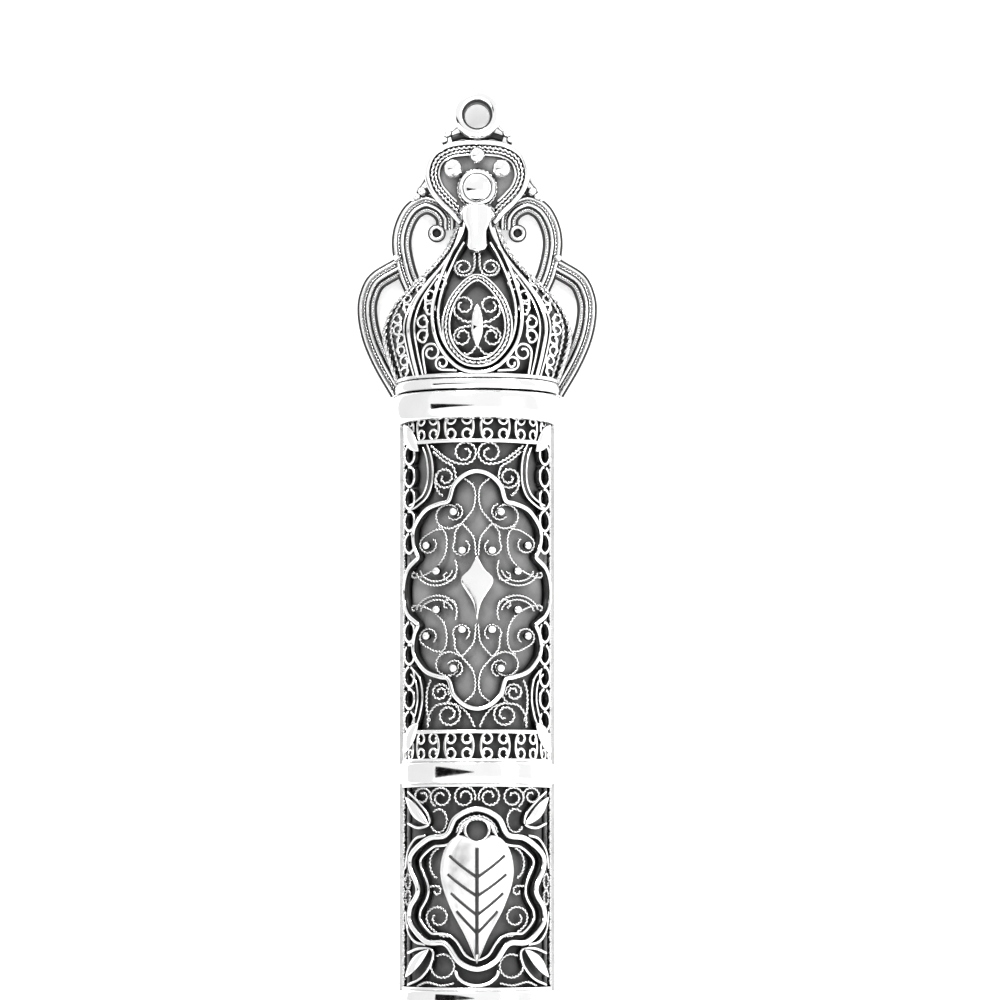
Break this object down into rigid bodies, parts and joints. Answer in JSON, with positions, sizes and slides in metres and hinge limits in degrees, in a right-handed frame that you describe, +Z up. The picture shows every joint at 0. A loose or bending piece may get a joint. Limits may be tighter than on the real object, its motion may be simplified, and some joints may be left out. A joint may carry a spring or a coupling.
{
  "type": "mezuzah case",
  "caption": "Upright wall case for a rolled parchment: a D-section tube of openwork filigree panels, an onion-dome crown that lifts off, a domed foot and nail eyelets at the ends.",
  "frame": {"origin": "on the back plate's rear face, at the middle of the centre panel's height", "axes": "+X to the viewer's right, +Y into the wall, +Z up along the case; the front faces -Y"},
  "size_m": [0.0314, 0.0165, 0.2],
  "materials": {
    "polished_silver": "mirror-polished silver",
    "filigree_silver": "drawn silver wire, oxidised in the recesses",
    "oxidised_silver": "grey oxidised silver sheet",
    "parchment": "matte parchment"
  },
  "bodies": {
    "case": {"back_plate": "polished_silver", "inner_liner": "oxidised_silver", "neck": "polished_silver", "floor_plate": "oxidised_silver", "upper_band": "polished_silver", "lower_band": "polished_silver", "upper_panel": "filigree_silver", "centre_panel": "filigree_silver", "lower_panel": "filigree_silver", "upper_cartouche": "polished_silver", "centre_cartouche": "polished_silver", "lower_cartouche": "polished_silver", "upper_diamond": "polished_silver", "lower_diamond": "polished_silver", "centre_leaf": "polished_silver", "centre_leaf_top_left": "polished_silver", "centre_leaf_top_right": "polished_silver", "centre_leaf_bottom_left": "polished_silver", "centre_leaf_bottom_right": "polished_silver", "upper_leaf_top_left": "polished_silver", "upper_leaf_top_right": "polished_silver", "upper_leaf_bottom_left": "polished_silver", "upper_leaf_bottom_right": "polished_silver", "lower_leaf_top_left": "polished_silver", "lower_leaf_top_right": "polished_silver", "lower_leaf_bottom_left": "polished_silver", "lower_leaf_bottom_right": "polished_silver", "foot_back": "polished_silver", "foot_bead": "polished_silver", "foot_calyx": "polished_silver", "foot_collar": "polished_silver", "foot_dome": "filigree_silver", "foot_dome_liner": "oxidised_silver", "foot_eyelet": "polished_silver", "foot_lower_loop_left": "polished_silver", "foot_lower_loop_right": "polished_silver", "foot_marquise": "polished_silver", "foot_teardrop": "polished_silver"},
    "crown": {"crown_back": "polished_silver", "crown_ball_left": "polished_silver", "crown_ball_right": "polished_silver", "crown_ball_top": "polished_silver", "crown_bead": "polished_silver", "crown_boss": "polished_silver", "crown_boss_bezel": "polished_silver", "crown_calyx": "polished_silver", "crown_collar": "polished_silver", "crown_dome": "filigree_silver", "crown_dome_liner": "oxidised_silver", "crown_eyelet": "polished_silver", "crown_inner_teardrop": "filigree_silver", "crown_lower_loop_left": "polished_silver", "crown_lower_loop_right": "polished_silver", "crown_marquise": "polished_silver", "crown_teardrop": "polished_silver", "crown_top_frame": "polished_silver", "crown_upper_loop_left": "polished_silver", "crown_upper_loop_right": "polished_silver"},
    "scroll": {"parchment_scroll": "parchment"}
  },
  "joints": [
    {"name": "crown_lift", "type": "slide", "parent": "case", "child": "crown", "axis": [0, 0, 1], "range_m": [0, 0.04]},
    {"name": "scroll_slide", "type": "slide", "parent": "case", "child": "scroll", "axis": [0, 0, 1], "range_m": [0, 0.012]}
  ]
}
